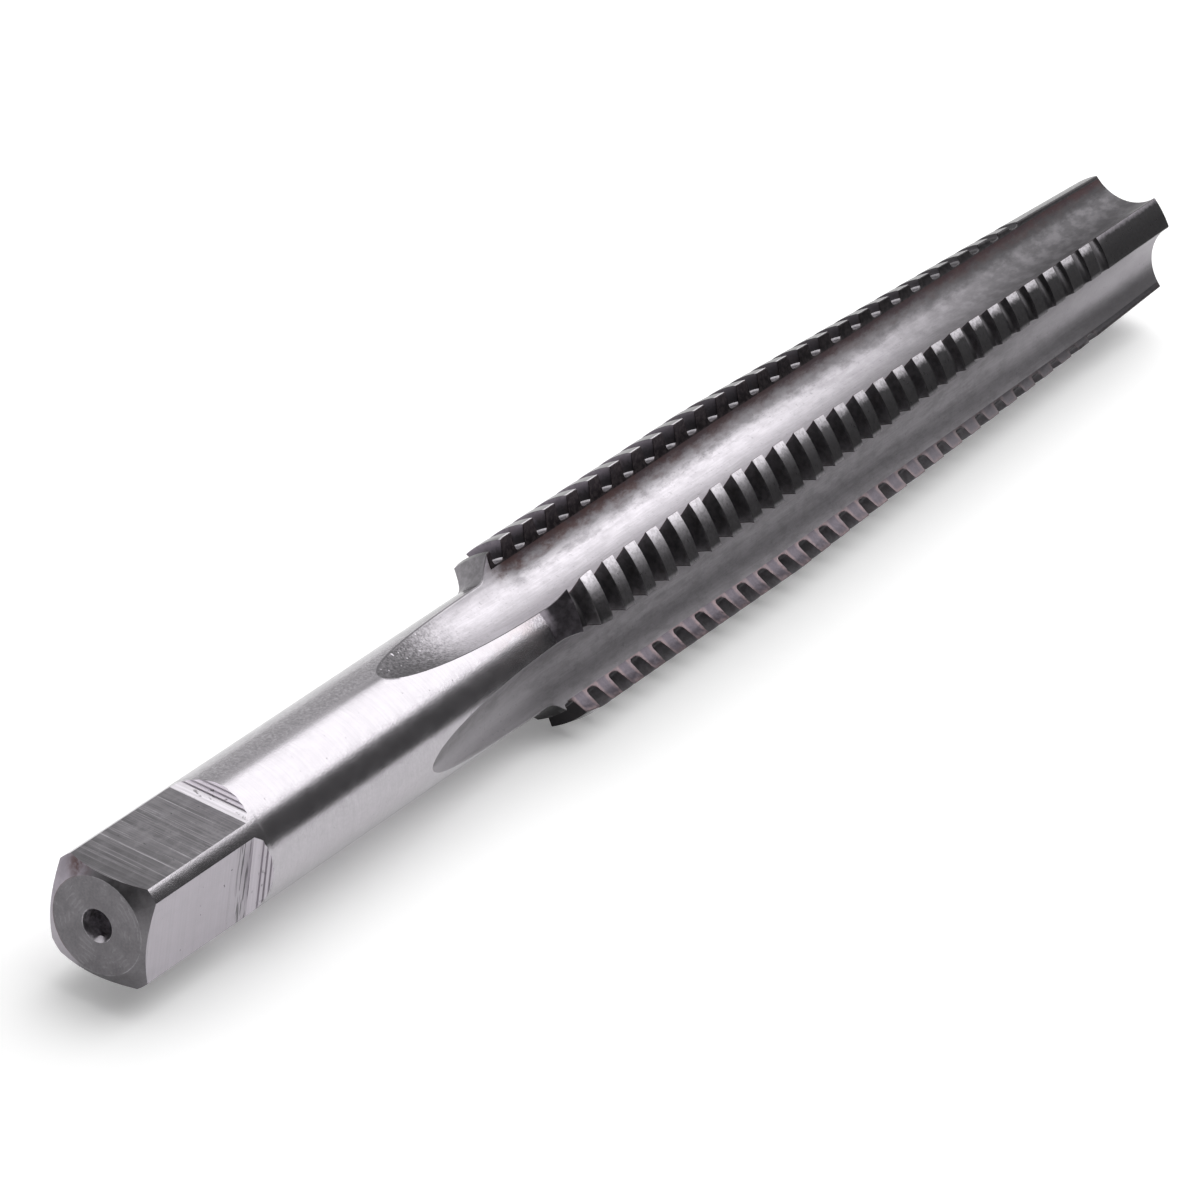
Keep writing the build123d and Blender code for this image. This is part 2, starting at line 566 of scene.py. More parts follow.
def build_tap():
    """The whole tap as one mesh object, with the marks that the materials read."""
    points, marks, quads, zones, index = tool_mesh()
    extra, cap_faces, cap_zones = end_rings(points, index)
    all_points = np.concatenate([points, extra])
    rounded = np.round(all_points, MERGE_DIGITS)
    _, first, same = np.unique(rounded, axis=0, return_index=True, return_inverse=True)
    same = same.reshape(-1)
    faces = []
    slots = []
    for face, zone in zip(list(quads) + cap_faces, list(zones) + cap_zones):
        kept = clean_face([int(same[corner]) for corner in face])
        if kept:
            faces.append(kept)
            slots.append(int(zone))
    mesh = bpy.data.meshes.new("tap_body")
    mesh.from_pydata((all_points[first] * MM).tolist(), [], faces)
    mesh.polygons.foreach_set("material_index", np.array(slots, dtype=np.int32))
    mesh.polygons.foreach_set("use_smooth", np.ones(len(mesh.polygons), dtype=bool))
    for name, values in marks.items():
        values = np.concatenate([values, np.zeros(len(extra))])[first]
        mesh.attributes.new(name, "FLOAT", "POINT").data.foreach_set("value", values.astype(np.float32))
    mark_edges(mesh)
    mesh.validate()
    mesh.update()
    piece = bpy.data.objects.new("tap_body", mesh)
    bpy.context.scene.collection.objects.link(piece)
    return piece


# materials

class Nodes:
    """Short names for building one material's nodes."""

    def __init__(self, name):
        self.material = bpy.data.materials.new(name)
        self.material.use_nodes = True
        self.tree = self.material.node_tree
        self.tree.nodes.clear()
        self.out = self.tree.nodes.new("ShaderNodeOutputMaterial")
        self.shader = self.tree.nodes.new("ShaderNodeBsdfPrincipled")
        self.tree.links.new(self.shader.outputs["BSDF"], self.out.inputs["Surface"])
        self.position = self.tree.nodes.new("ShaderNodeTexCoord").outputs["Object"]
        split = self.tree.nodes.new("ShaderNodeSeparateXYZ")
        self.link(self.position, split.inputs[0])
        self.x, self.y, self.z = (split.outputs[axis] for axis in "XYZ")

    def link(self, source, target):
        self.tree.links.new(source, target)

    def math(self, operation, first, second=0.0):
        """One sum on two sockets or numbers."""
        node = self.tree.nodes.new("ShaderNodeMath")
        node.operation = operation
        for socket, value in zip(node.inputs, (first, second)):
            if isinstance(value, (int, float)):
                socket.default_value = value
            else:
                self.link(value, socket)
        return node.outputs[0]

    def add(self, first, second):
        return self.math("ADD", first, second)

    def minus(self, first, second):
        return self.math("SUBTRACT", first, second)

    def times(self, first, second):
        return self.math("MULTIPLY", first, second)

    def stretched(self, scale):
        """Position in millimetres, stretched by a scale on each axis."""
        node = self.tree.nodes.new("ShaderNodeMapping")
        node.inputs["Scale"].default_value = [s / MM for s in scale]
        self.link(self.position, node.inputs["Vector"])
        return node.outputs["Vector"]

    def noise(self, scale, detail=3.0, rough=0.6, low=0.35, high=0.65):
        """Noise from 0 to 1 with more contrast, on stretched position."""
        node = self.tree.nodes.new("ShaderNodeTexNoise")
        node.inputs["Scale"].default_value = 1.0
        node.inputs["Detail"].default_value = detail
        node.inputs["Roughness"].default_value = rough
        self.link(self.stretched(scale), node.inputs["Vector"])
        return self.spread(node.outputs["Fac"], low, high)

    def spread(self, value, low, high, to_low=0.0, to_high=1.0):
        """A value between two limits, turned smoothly into one between two numbers."""
        node = self.tree.nodes.new("ShaderNodeMapRange")
        node.interpolation_type = "SMOOTHSTEP"
        limits = {"From Min": low, "From Max": high, "To Min": to_low, "To Max": to_high}
        for name, number in limits.items():
            node.inputs[name].default_value = number
        self.link(value, node.inputs["Value"])
        return node.outputs["Result"]

    def past(self, value, low, high, before=0.0, after=1.0):
        """One number below a place and another above a second place, in millimetres."""
        return self.spread(value, low * MM, high * MM, before, after)

    def along(self, stretch, before=0.0, after=1.0):
        """One number before a stretch of the tool and another behind it."""
        return self.past(self.x, *stretch, before, after)

    def near(self, place, inner, outer):
        """1 near a place and 0 far from it, in millimetres."""
        node = self.tree.nodes.new("ShaderNodeVectorMath")
        node.operation = "DISTANCE"
        self.link(self.position, node.inputs[0])
        node.inputs[1].default_value = [c * MM for c in place]
        return self.spread(node.outputs["Value"], inner * MM, outer * MM, 1.0, 0.0)

    def reach(self):
        """Distance from the tool's axis."""
        return self.math("SQRT", self.add(self.times(self.y, self.y), self.times(self.z, self.z)))

    def on_top(self):
        """Above 0 on the upper and lower flats, below 0 on the two side flats."""
        return self.minus(self.math("ABSOLUTE", self.z), self.math("ABSOLUTE", self.y))

    def attribute(self, name):
        """A value that the mesh carries at its points."""
        node = self.tree.nodes.new("ShaderNodeAttribute")
        node.attribute_name = name
        return node.outputs["Fac"]

    def mix(self, share, first, second):
        """Colour between two, each a colour or a socket."""
        node = self.tree.nodes.new("ShaderNodeMix")
        node.data_type = "RGBA"
        self.link(share, node.inputs["Factor"])
        for socket, value in ((node.inputs[6], first), (node.inputs[7], second)):
            if isinstance(value, tuple):
                socket.default_value = (*value, 1.0)
            else:
                self.link(value, socket)
        return node.outputs[2]

    def bump(self, height, distance, normal=None):
        """Normal of a fine relief with a depth in millimetres."""
        node = self.tree.nodes.new("ShaderNodeBump")
        node.inputs["Distance"].default_value = distance * MM
        self.link(height, node.inputs["Height"])
        if normal is not None:
            self.link(normal, node.inputs["Normal"])
        return node.outputs["Normal"]

    def finish(self, colour, rough, normal):
        """Connects a bare metal's colour, roughness and relief."""
        self.shader.inputs["Metallic"].default_value = 1.0
        self.link(colour, self.shader.inputs["Base Color"])
        self.link(rough, self.shader.inputs["Roughness"])
        self.link(normal, self.shader.inputs["Normal"])
        return self.material


def steel(level, tint=1.0):
    """A steel's colour at a grey level, a touch cool and violet as in the photograph."""
    return (level, level * (1 - 0.045 * tint), level * (1 + 0.015 * tint))


BROWN = (0.1, 0.058, 0.055)
DULL_BROWN = (0.09, 0.065, 0.06)
PURPLE = (0.066, 0.043, 0.049)
ROSE = (0.29, 0.22, 0.225)
BLUSH = (0.43, 0.37, 0.375)
# very dark colours for the painted shade on the teeth's ends
SHADE_BLACK = (0.03, 0.025, 0.028)
PALER_SHADE_BLACK = (0.06, 0.05, 0.052)

# stretches of the tool, from and to, in which its look changes
FLAT_FRONT = (0.8, 5)
FLAT_SCORED = (9, 9.8)
RUNOUT_CLIMBS = (FLAT_LENGTH + RUNOUT_STEPS[0] - 0.04, FLAT_LENGTH + RUNOUT_STEPS[0] + 0.04)
GRIT_ENDS = (30, 41.5)
FAR_SIDE_DARKENS = (30, 43)
BLUSHES = (35, 43)
SHADED_FLUTE_OPENS = (38, 45)
SHANK_SHADE_NEAR_SHOULDER = (40.5, 44.2)
RUST_STARTS = (44.5, 46)
SHADE_AND_STAIN_STARTS = (45, 47.2)
FACES_START = (45.6, 46.1)
FLANKS_START = (45.9, 46.9)
CRESTS_START = (46.2, 46.8)
CRESTS_DARKEN = (48, 82)
RUST_AND_LIGHT_FADE = (58, 80)
STEEL_DARKENS = (68, 112)
CREST_EDGE_BRIGHTENS = (68, 100)
FLANKS_DARKEN = (92, 106)
ROOTS_DARKEN = (92, 108)
SHADED_FLUTE_PALES = (96, 116)
SHADED_FLUTE_DARKENS = (100, 116)
PLAIN_TIP = (LENGTH - TIP_PLAIN - 1.5, LENGTH - TIP_PLAIN + 1.5)

# stretches across the axis of the shank, the end face and the chamfer
SAND_BEHIND = (0, 0.6)
SAND_BEFORE = (-2.9, -2.3)
SHADED_FAR_SIDE = (1.9, 2.6)
SHADED_TOP = (0, 1.5)
NEAR_SIDE = (-2.6, -1.6)
WORN_RIM = (END_FACE_R - 0.09, END_FACE_R)
RIM_RUSTS = (0.5, 2.5)
CHAMFER_LIT_SIDE = (0.3, 1.8)

# blends between two sides of the tool
AXIS_BLEND = (-1, 1)
ROOT_BLEND = (-0.5, 0.5)
FLUTE_BLEND = (-0.4, 0.4)
FLAT_BLEND = (-0.2, 0.2)

# single spots
RUST_SPOT = (0.45, 2.0, 3.45)
# spot of the painted glint on the hole's burr
BURR_GLINT = (BURR_X * 0.6, -0.22, -0.95)


def shank_steel():
    """Cylindrically ground: fine rings round the shank, a sandy grain, faint stains and a few specks, with
    painted shade on its far upper side and towards -Y near the shoulder.
    """
    n = Nodes("shank_steel")
    rings = n.noise((12, 0.3, 0.3), detail=4)
    sand = n.noise((7, 7, 7))
    sparkle = n.noise((4.5, 4.5, 4.5), detail=4, rough=0.75, low=0.36, high=0.66)
    broad = n.noise((0.8, 1.2, 1.2), detail=4)
    stain = n.noise((0.3, 0.6, 0.6), detail=5, low=0.56, high=0.72)
    speck = n.noise((2.6, 2.6, 2.6), detail=2, low=0.71, high=0.76)
    colour = n.mix(rings, steel(0.415), steel(0.445))
    sandy = n.add(n.past(n.y, *SAND_BEHIND), n.past(n.y, *SAND_BEFORE, 0.2, 0))
    colour = n.mix(n.times(sandy, 0.8), colour, n.mix(sparkle, steel(0.3), steel(0.55)))
    colour = n.mix(n.times(broad, 0.3), colour, steel(0.39))
    colour = n.mix(n.times(stain, 0.25), colour, steel(0.31))
    colour = n.mix(n.times(speck, 0.5), colour, steel(0.2))
    blush = n.times(n.along(BLUSHES), n.noise((0.5, 1, 1), detail=4, low=0.42, high=0.62))
    colour = n.mix(n.times(blush, 0.45), colour, BLUSH)
    # painted shade: darker on the far side of the upper half, more so towards the shoulder
    far_side = n.times(n.past(n.y, *SHADED_FAR_SIDE), n.past(n.z, *SHADED_TOP))
    far_side = n.times(far_side, n.add(n.times(n.along(FAR_SIDE_DARKENS), 0.42), 0.33))
    colour = n.mix(far_side, colour, steel(0.16))
    # painted shade: darker towards -Y just before the shoulder, broken up by the sandy grain
    shoulder_shade = n.times(n.along(SHANK_SHADE_NEAR_SHOULDER), n.past(n.y, *NEAR_SIDE, 1, 0))
    colour = n.mix(n.times(shoulder_shade, n.add(n.times(sand, 0.5), 0.4)), colour, steel(0.14, 2))
    rough = n.add(n.times(broad, 0.04), 0.17)
    return n.finish(colour, rough, n.bump(sand, 0.0012, normal=n.bump(rings, 0.0004)))


def flat_steel():
    """Milled flats: fine lines and long scratches across the tool; the upper and lower flats are a painted
    shaded copy, darker still towards the drive end, the two side flats a painted lit copy.
    """
    n = Nodes("flat_steel")
    lines = n.noise((7, 0.12, 0.12), detail=5, low=0.3, high=0.7)
    scratch = n.noise((5, 0.05, 0.05), detail=6, rough=0.8, low=0.56, high=0.64)
    wear = n.noise((0.8, 1.3, 1.3), detail=7, rough=0.65, low=0.42, high=0.72)
    pit = n.noise((2.2, 2.2, 2.2), detail=2, low=0.7, high=0.74)
    # the shaded copy, for the upper and lower flats: painted shade
    dark = n.mix(lines, steel(0.1), steel(0.17))
    dark = n.mix(n.times(wear, 0.5), dark, steel(0.23))
    dark = n.mix(n.times(scratch, 0.75), dark, steel(0.46))
    # painted shade, deeper towards the drive end
    dark = n.mix(n.along(FLAT_FRONT, 0.45, 0), dark, steel(0.065))
    # the lit copy, for the two side flats: painted light
    light = n.mix(lines, steel(0.39, 1.4), steel(0.435, 1.4))
    light = n.mix(n.times(wear, 0.35), light, steel(0.355, 1.4))
    light = n.mix(n.times(scratch, 0.4), light, steel(0.29, 1.4))
    score = n.noise((6, 0.35, 0.35), detail=2, low=0.53, high=0.6)
    light = n.mix(n.times(score, n.along(FLAT_SCORED)), light, steel(0.13))
    colour = n.mix(n.past(n.on_top(), *FLAT_BLEND), light, dark)
    colour = n.mix(pit, colour, steel(0.07))
    rough = n.add(n.times(lines, 0.08), 0.3)
    return n.finish(colour, rough, n.bump(n.minus(lines, scratch), 0.003))


def runout_steel():
    """Where the flats end: bright, with dark nicks; two of the four carry a painted highlight that grows
    paler as they climb, where they also turn rough.
    """
    n = Nodes("runout_steel")
    lines = n.noise((9, 0.15, 0.15), detail=5, low=0.3, high=0.7)
    nick = n.noise((3, 1.4, 1.4), detail=4, low=0.62, high=0.68)
    climb = n.along(RUNOUT_CLIMBS)
    tread = n.mix(lines, steel(0.5), steel(0.7))
    # painted highlight: paler where the upper and lower run-outs climb
    upper = n.mix(climb, tread, n.mix(lines, steel(0.8, 1.4), steel(0.95, 1.4)))
    side = n.mix(lines, steel(0.42, 1.4), steel(0.48, 1.4))
    top = n.past(n.on_top(), *FLAT_BLEND)
    # painted light: the upper and lower run-outs brighter than the side ones
    colour = n.mix(top, side, upper)
    colour = n.mix(n.times(nick, 0.7), colour, steel(0.12))
    rough = n.add(n.times(n.times(climb, top), 0.28), 0.34)
    return n.finish(colour, rough, n.bump(n.minus(lines, nick), 0.006))


def turned_steel(name, dark, light, rings_per_mm, contrast):
    """Turned end: broken rings about the axis under a cloudy skin."""
    n = Nodes(name)
    reach = n.reach()
    patch = n.noise((0.9, 0.9, 0.9), detail=6)
    broken = n.noise((0.8, 0.8, 0.8), detail=5, low=0.5, high=0.62)
    turns = n.times(reach, rings_per_mm * 2 * math.pi / MM)
    rings = n.spread(n.math("SINE", n.add(turns, n.times(patch, 4.0))), 0.3, 1.0)
    fine = n.noise((6, 6, 6), detail=4)
    arcs = n.times(rings, broken)
    shade = n.add(n.add(n.times(patch, 0.5), n.times(fine, 0.3)), n.times(arcs, contrast))
    colour = n.mix(shade, steel(dark), steel(light))
    return n, colour, arcs, patch


def end_face_steel():
    """Turned end face with a rubbed bright rim, a little rusty towards +Y."""
    n, colour, arcs, patch = turned_steel("end_face_steel", 0.125, 0.2, 3.2, 0.9)
    rim = n.past(n.reach(), *WORN_RIM)
    colour = n.mix(n.times(rim, n.times(patch, 0.6)), colour, steel(0.4))
    rust = n.times(rim, n.past(n.y, *RIM_RUSTS))
    colour = n.mix(n.times(rust, 0.6), colour, BROWN)
    rough = n.add(n.times(patch, 0.1), 0.33)
    return n.finish(colour, rough, n.bump(arcs, 0.003))


def chamfer_steel():
    """Turned chamfer, paler towards +Y as painted light, with one spot of rust."""
    n, colour, arcs, patch = turned_steel("chamfer_steel", 0.13, 0.19, 5, 0.2)
    # painted light: paler towards +Y
    pale = n.mix(patch, steel(0.24, 2), steel(0.32, 2))
    colour = n.mix(n.past(n.y, *CHAMFER_LIT_SIDE), colour, pale)
    cloud = n.noise((1.5, 1.5, 1.5), detail=5, low=0.3, high=0.6)
    rust = n.times(n.near(RUST_SPOT, 0.3, 1.4), cloud)
    colour = n.mix(n.times(rust, 0.85), colour, BROWN)
    rough = n.add(n.times(patch, 0.1), 0.3)
    return n.finish(colour, rough, n.bump(arcs, 0.002))


def hole_steel():
    """Centre hole: dull, with a painted glint on the burr just inside the mouth."""
    n = Nodes("hole_steel")
    grain = n.noise((2.5, 2.5, 2.5), detail=5)
    colour = n.mix(grain, steel(0.3), steel(0.6))
    # painted glint on the burr
    colour = n.mix(n.near(BURR_GLINT, 0.25, 0.5), colour, steel(0.8))
    rough = n.add(n.times(grain, 0.1), 0.5)
    return n.finish(colour, rough, n.bump(grain, 0.02))


def lit_flute_colour(n, lines, cloud):
    """Colour of the flutes towards +Y and +Z, the painted lit copy: gritty at the start, painted shade and
    a stain along the wall beside one land, a painted dark line on the edge before the teeth, darker at the
    tip.
    """
    colour = n.mix(lines, steel(0.55), steel(0.65))
    colour = n.mix(n.times(cloud, 0.5), colour, steel(0.46))
    grit = n.noise((4.5, 5, 5), detail=5, rough=0.7, low=0.32, high=0.7)
    glint = n.noise((2.1, 2.1, 2.1), detail=2, low=0.67, high=0.72)
    early = n.add(n.along(GRIT_ENDS), n.times(n.minus(grit, 0.5), 0.3))
    gritty = n.mix(glint, n.mix(grit, steel(0.08), steel(0.23)), steel(0.7))
    colour = n.mix(n.spread(early, 0.05, 0.95), gritty, colour)
    late = n.times(n.along(STEEL_DARKENS), 0.95)
    patch = n.noise((0.8, 1.2, 1.2), detail=5, low=0.38, high=0.68)
    colour = n.mix(late, colour, n.mix(patch, steel(0.085), steel(0.16)))

    wall = n.add(n.attribute("wall"), n.times(n.minus(cloud, 0.5), 0.12))
    behind = n.along(SHADE_AND_STAIN_STARTS)
    # painted shade along the wall beside the land, deeper towards the tip
    shadow = n.mix(late, steel(0.17), steel(0.05))
    colour = n.mix(n.times(n.spread(wall, 0.3, 0.7), n.times(behind, 0.8)), colour, shadow)
    colour = n.mix(n.times(n.spread(wall, 0.7, 0.95), n.times(behind, 0.85)), colour, PURPLE)
    rusty = n.times(n.noise((0.7, 1.4, 1.4), detail=6, low=0.38, high=0.62), n.along(RUST_STARTS))
    rusty = n.times(rusty, n.times(n.spread(wall, 0.55, 0.8), n.along(RUST_AND_LIGHT_FADE, 0.75, 0.3)))
    colour = n.mix(rusty, colour, BROWN)
    # painted shade: a dark line along the flute's edge by the land, before the teeth start
    edge = n.spread(n.attribute("down"), 0.0, 0.15, 1.0, 0.0)
    edge = n.times(edge, n.spread(behind, 0.0, 0.5, 0.8, 0.0))
    return n.mix(edge, colour, steel(0.12))


def shaded_flute_colour(n, lines, cloud):
    """Colour of the flutes towards -Y and -Z, the painted shaded copy: grey, paler at both ends, darker on
    one side near the tip.
    """
    wall = n.attribute("wall")
    colour = n.mix(lines, steel(0.22), steel(0.26))
    colour = n.mix(n.times(cloud, 0.6), colour, steel(0.16))
    opening = n.times(n.along(SHADED_FLUTE_OPENS, 1, 0), n.spread(wall, -0.7, 0.3, 1.0, 0.0))
    colour = n.mix(n.times(opening, n.add(n.times(cloud, 0.3), 0.5)), colour, steel(0.4))
    paler_part = n.times(n.along(SHADED_FLUTE_PALES), n.spread(wall, -0.75, -0.1))
    colour = n.mix(paler_part, colour, steel(0.36))
    darker_near_tip = n.times(n.along(SHADED_FLUTE_DARKENS), n.spread(wall, -0.75, -0.25, 1.0, 0.0))
    return n.mix(n.times(darker_near_tip, 0.7), colour, steel(0.12))


def flute_steel():
    """Ground flutes: satin and cloudy, two in painted light and two in painted shade, with a few dark
    specks.
    """
    n = Nodes("flute_steel")
    lines = n.noise((0.3, 7, 7), detail=6, rough=0.7, low=0.3, high=0.7)
    cloud = n.noise((0.6, 1.4, 1.4), detail=8, rough=0.7, low=0.38, high=0.68)
    speck = n.noise((4, 4, 4), detail=3, low=0.6, high=0.72)
    # painted light and shade: a lit copy for the flutes towards +Y and +Z, a shaded copy for the others
    bright = lit_flute_colour(n, lines, cloud)
    dull = shaded_flute_colour(n, lines, cloud)
    colour = n.mix(n.past(n.add(n.y, n.z), *FLUTE_BLEND), dull, bright)
    colour = n.mix(n.times(speck, 0.3), colour, steel(0.12))
    rough = n.add(n.times(cloud, 0.06), 0.5)
    normal = n.bump(lines, 0.0015)
    return n.finish(colour, rough, n.bump(cloud, 0.004, normal=normal))


def tooth_face_steel():
    """Ends of the teeth: grey with a rose rim on the cutting side; very dark on the trailing side and
    before the first teeth as painted shade, and darker towards the tip.
    """
    n = Nodes("tooth_face_steel")
    speckle = n.noise((3, 3, 3), detail=5, low=0.4, high=0.65)
    beside = n.spread(n.attribute("beside"), 0.55, 1.0)
    rim = n.math("MAXIMUM", beside, n.spread(n.attribute("down"), 0.0, 0.25, 1.0, 0.0))
    cutting = n.mix(speckle, steel(0.115, 2.5), steel(0.16, 2.5))
    rosy = n.times(rim, n.add(n.times(speckle, 0.45), 0.4))
    cutting = n.mix(rosy, cutting, ROSE)
    # painted shade: very dark on the trailing side and before the first teeth
    painted_dark = n.mix(speckle, SHADE_BLACK, PALER_SHADE_BLACK)
    cutting = n.mix(n.along(FACES_START), painted_dark, cutting)
    colour = n.mix(n.spread(n.attribute("wall"), -0.2, 0.2), cutting, painted_dark)
    colour = n.mix(n.times(n.along(STEEL_DARKENS), 0.85), colour, steel(0.075))
    rough = n.add(n.times(speckle, 0.1), 0.32)
    return n.finish(colour, rough, n.bump(speckle, 0.004))


def crest_steel():
    """Crests: a painted highlight along the cutting edge, dark behind it, and paler again at the trailing
    edge with a second painted highlight; very dark as painted shade before the first teeth.
    """
    n = Nodes("crest_steel")
    across = n.attribute("across")
    patch = n.noise((2.5, 2.5, 2.5), detail=4)
    wander = n.add(across, n.times(n.minus(patch, 0.5), 0.12))
    grain = n.noise((3, 3, 3), low=0.2, high=0.8)
    sand = n.noise((8, 8, 8), low=0.2, high=0.8)
    near_tip = n.along(CREST_EDGE_BRIGHTENS)
    wide = n.spread(wander, -0.95, 0.35, 1.0, 0.0)
    narrow = n.spread(wander, -0.85, -0.4, 1.0, 0.0)
    early = n.along(CRESTS_DARKEN, 1, 0)
    # painted highlight along the cutting edge, wider near the shoulder
    edge_highlight = n.add(narrow, n.times(n.minus(wide, narrow), early))
    dark = n.mix(early, n.mix(grain, steel(0.05), steel(0.07)), n.mix(grain, steel(0.15), steel(0.18)))
    colour = n.mix(edge_highlight, dark, n.mix(near_tip, steel(0.52), steel(0.78)))
    # painted highlight at the trailing edge, brighter towards +Y
    trailing = n.mix(n.past(n.y, *AXIS_BLEND), steel(0.55), steel(0.85))
    colour = n.mix(n.spread(across, 0.8, 0.98), colour, n.mix(near_tip, trailing, steel(0.3)))
    # painted shade: very dark before the first teeth, darkest towards -Z
    lead_in = n.mix(n.past(n.z, *AXIS_BLEND), steel(0.015), steel(0.07))
    colour = n.mix(n.along(CRESTS_START), lead_in, colour)
    # painted highlight along the cutting edge of the plain tip
    lit_share = n.times(n.spread(wander, -1.0, -0.65, 0.9, 0.0), n.add(n.times(patch, 0.4), 0.6))
    plain = n.mix(lit_share, steel(0.055), steel(0.5, 1.5))
    colour = n.mix(n.along(PLAIN_TIP), colour, plain)
    pits = n.noise((4.5, 4.5, 4.5), low=0.45, high=0.62)
    colour = n.mix(n.times(pits, 0.3), colour, steel(0.08))
    colour = n.mix(n.spread(n.attribute("depth"), 0.004, 0.04), colour, steel(0.07))
    rough = n.add(n.times(grain, 0.04), 0.27)
    return n.finish(colour, rough, n.bump(sand, 0.0007))


def flank_steel():
    """Thread flanks: dark grey with a trace of brown; painted shade makes them very dark towards -Y and -Z
    before the first teeth, and towards +Y they are lighter near the crest and very dark deeper in the gap.
    """
    n = Nodes("flank_steel")
    grain = n.noise((2.5, 2.5, 2.5), detail=5)
    near_side = n.mix(grain, steel(0.13), steel(0.18))
    # painted shade: very dark towards -Z before the first teeth
    painted_dark = n.times(n.along(FLANKS_START, 1, 0), n.past(n.z, *AXIS_BLEND, 1, 0))
    near_side = n.mix(painted_dark, near_side, steel(0.03))
    # painted light and shade towards +Y: lighter near the crest, very dark deeper in the gap
    lit_share = n.spread(n.add(n.attribute("depth"), n.times(grain, 0.3)), 0.15, 1.1, 1.0, 0.0)
    lit_share = n.times(lit_share, n.along(RUST_AND_LIGHT_FADE, 1, 0.2))
    far_side = n.mix(lit_share, steel(0.045, 2), n.mix(grain, steel(0.14, 2.5), steel(0.22, 2.5)))
    colour = n.mix(n.past(n.y, *AXIS_BLEND), near_side, far_side)
    brown = n.noise((0.9, 0.9, 0.9), detail=4, low=0.5, high=0.7)
    colour = n.mix(n.times(brown, 0.25), colour, DULL_BROWN)
    colour = n.mix(n.times(n.along(FLANKS_DARKEN), 0.7), colour, steel(0.07))
    rough = n.add(n.times(grain, 0.06), 0.38)
    return n.finish(colour, rough, n.bump(grain, 0.002))


def root_steel():
    """Floors of the thread gaps: bright towards +Y as a painted highlight except near the tip, painted
    shade towards -Y.
    """
    n = Nodes("root_steel")
    grain = n.noise((4, 4, 4), detail=5)
    # painted highlight: bright floors
    colour = n.mix(grain, steel(0.6), steel(0.8))
    colour = n.mix(n.along(ROOTS_DARKEN), colour, steel(0.09))
    # painted shade towards -Y
    colour = n.mix(n.past(n.y, *ROOT_BLEND), steel(0.1), colour)
    rough = n.add(n.times(grain, 0.1), 0.3)
    return n.finish(colour, rough, n.bump(grain, 0.002))


def shoulder_steel():
    """Shoulder and its fillet: turned, with painted shade on the lands towards -Y, very dark there and
    darkest towards -Z.
    """
    n = Nodes("shoulder_steel")
    grain = n.noise((2.5, 2.5, 2.5), detail=5)
    paler_part = n.mix(grain, steel(0.22), steel(0.3))
    # painted shade towards -Y, darkest towards -Z
    painted_dark = n.mix(grain, steel(0.12, 2), steel(0.17, 2))
    painted_dark = n.mix(n.past(n.z, *AXIS_BLEND), steel(0.025), painted_dark)
    colour = n.mix(n.past(n.y, *AXIS_BLEND), painted_dark, paler_part)
    rough = n.add(n.times(grain, 0.08), 0.3)
    return n.finish(colour, rough, n.bump(grain, 0.003))


def tip_steel():
    """Plain grey tip face."""
    n = Nodes("tip_steel")
    grain = n.noise((2.5, 2.5, 2.5), detail=5)
    colour = n.mix(grain, steel(0.18), steel(0.26))
    rough = n.add(n.times(grain, 0.08), 0.3)
    return n.finish(colour, rough, n.bump(grain, 0.003))


def zone_materials():
    """The material of each zone."""
    return {
        "shank": shank_steel(),
        "flat": flat_steel(),
        "runout": runout_steel(),
        "chamfer": chamfer_steel(),
        "end_face": end_face_steel(),
        "hole": hole_steel(),
        "shoulder": shoulder_steel(),
        "flute": flute_steel(),
        "tooth_face": tooth_face_steel(),
        "crest": crest_steel(),
        "flank": flank_steel(),
        "root": root_steel(),
        "tip": tip_steel(),
    }


# floor, light and camera

FLOOR_SIZE = 6.0
FLOOR_WHITE = 0.9
FLOOR_ROUGH = 0.9
FLOOR_LIFT = 0.2


def floor():
    """Pale floor under the tool, seen a little brighter than it is lit."""
    bpy.ops.mesh.primitive_plane_add(size=FLOOR_SIZE, location=(LENGTH * MM / 2, 0, low_corner[2]))
    plane = bpy.context.object
    plane.name = "floor"
    material = bpy.data.materials.new("pale_floor")
    material.use_nodes = True
    tree = material.node_tree
    shader = tree.nodes["Principled BSDF"]
    shader.inputs["Base Color"].default_value = (FLOOR_WHITE, FLOOR_WHITE, FLOOR_WHITE, 1)
    shader.inputs["Roughness"].default_value = FLOOR_ROUGH
    shader.inputs["Specular IOR Level"].default_value = 0.0
    path = tree.nodes.new("ShaderNodeLightPath")
    glow = tree.nodes.new("ShaderNodeEmission")
    add = tree.nodes.new("ShaderNodeAddShader")
    seen = path.outputs["Is Camera Ray"]
    for ray in ("Is Glossy Ray", "Is Transmission Ray"):
        either = tree.nodes.new("ShaderNodeMath")
        either.operation = "MAXIMUM"
        tree.links.new(seen, either.inputs[0])
        tree.links.new(path.outputs[ray], either.inputs[1])
        seen = either.outputs[0]
    level = tree.nodes.new("ShaderNodeMath")
    level.operation = "MULTIPLY"
    level.inputs[1].default_value = FLOOR_LIFT
    tree.links.new(seen, level.inputs[0])
    tree.links.new(level.outputs[0], glow.inputs["Strength"])
    tree.links.new(shader.outputs["BSDF"], add.inputs[0])
    tree.links.new(glow.outputs["Emission"], add.inputs[1])
    tree.links.new(add.outputs["Shader"], tree.nodes["Material Output"].inputs["Surface"])
    plane.data.materials.append(material)


# the room: a soft pale dome, darker on the side towards -Y, where the camera stood, and in one far corner
DOME_LEVEL = 0.72

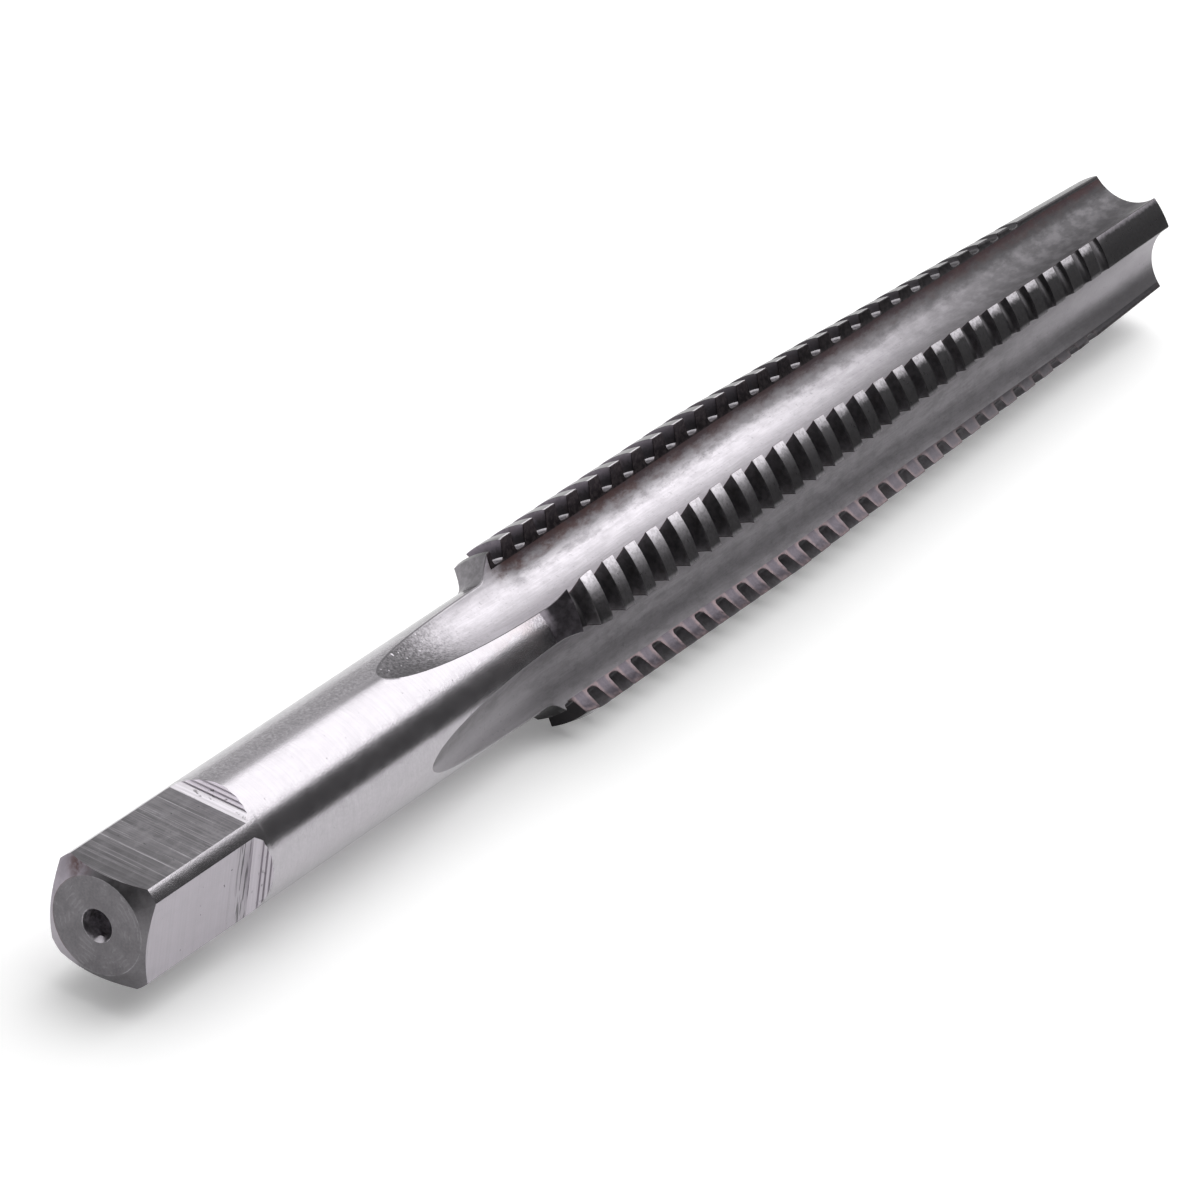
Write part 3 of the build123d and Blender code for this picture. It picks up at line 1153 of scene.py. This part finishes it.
# each darker side: its direction, where it starts and ends in degrees from there, and the light left
DARK_SIDES = [
    (Vector((0.3, -0.93, 0.2)), 35.0, 47.0, 0.12),
    (Vector((-0.9, -0.36, 0.24)), 38.0, 62.0, 0.12),
    (Vector((0.88, 0.38, 0.17)), 8.0, 18.0, 0.5),
]

# round softbox above the tool, leaning towards its tip
SOFTBOX_AIM = Vector((0.045, 0.0, 0.0))
SOFTBOX_WAY = Vector((0.375, -0.06, 0.925))
SOFTBOX_FAR = 0.42
SOFTBOX_WIDE = 0.64
SOFTBOX_RADIANCE = 1.65


def room():
    """Light from all round: even, with a few darker sides."""
    world = bpy.data.worlds.new("room")
    bpy.context.scene.world = world
    world.use_nodes = True
    tree = world.node_tree
    background = tree.nodes["Background"]
    background.inputs["Color"].default_value = (1, 1, 1, 1)
    way = tree.nodes.new("ShaderNodeTexCoord").outputs["Generated"]
    level = None
    for centre, inner, outer, dark in DARK_SIDES:
        dot = tree.nodes.new("ShaderNodeVectorMath")
        dot.operation = "DOT_PRODUCT"
        dot.inputs[1].default_value = centre.normalized()
        tree.links.new(way, dot.inputs[0])
        edge = tree.nodes.new("ShaderNodeMapRange")
        edge.interpolation_type = "SMOOTHSTEP"
        edge.inputs["From Min"].default_value = math.cos(math.radians(outer))
        edge.inputs["From Max"].default_value = math.cos(math.radians(inner))
        edge.inputs["To Min"].default_value = 1.0
        edge.inputs["To Max"].default_value = dark
        tree.links.new(dot.outputs["Value"], edge.inputs["Value"])
        product = tree.nodes.new("ShaderNodeMath")
        product.operation = "MULTIPLY"
        tree.links.new(edge.outputs["Result"], product.inputs[0])
        product.inputs[1].default_value = DOME_LEVEL
        if level is not None:
            tree.links.new(level, product.inputs[1])
        level = product.outputs[0]
    tree.links.new(level, background.inputs["Strength"])


def softbox():
    """The main lamp."""
    lamp = bpy.data.lights.new("softbox", "AREA")
    lamp.shape = "DISK"
    lamp.size = SOFTBOX_WIDE
    lamp.energy = SOFTBOX_RADIANCE * math.pi * math.pi * SOFTBOX_WIDE**2 / 4
    holder = bpy.data.objects.new("softbox", lamp)
    way = SOFTBOX_WAY.normalized()
    holder.location = SOFTBOX_AIM + way * SOFTBOX_FAR
    holder.rotation_euler = way.to_track_quat("Z", "Y").to_euler()
    bpy.context.scene.collection.objects.link(holder)


# camera: where the photograph was taken from
CAMERA_AT = Vector((-365.577, -242.4564, 291.4271)) * MM
CAMERA_WAY = Vector((0.742107, 0.427609, -0.516162))
CAMERA_UP = Vector((0.376428, 0.371293, 0.848782))
LENS = 260.2465
SENSOR = 36.0
NEAR_LIMIT = 0.01
FAR_LIMIT = 20.0


def camera():
    """The photograph's view."""
    data = bpy.data.cameras.new("camera")
    data.lens = LENS
    data.sensor_width = SENSOR
    data.clip_start = NEAR_LIMIT
    data.clip_end = FAR_LIMIT
    eye = bpy.data.objects.new("camera", data)
    way = CAMERA_WAY.normalized()
    right = way.cross(CAMERA_UP).normalized()
    up = right.cross(way)
    turn = Matrix((right, up, -way)).transposed()
    eye.matrix_world = Matrix.Translation(CAMERA_AT) @ turn.to_4x4()
    bpy.context.scene.collection.objects.link(eye)
    bpy.context.scene.camera = eye


tap = build_tap()
materials = zone_materials()
for zone in ZONES:
    tap.data.materials.append(materials[zone])
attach(tap, "root")
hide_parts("tap")

floor()
room()
softbox()
camera()
bpy.context.scene.view_settings.view_transform = "Standard"

bpy.context.view_layer.update()
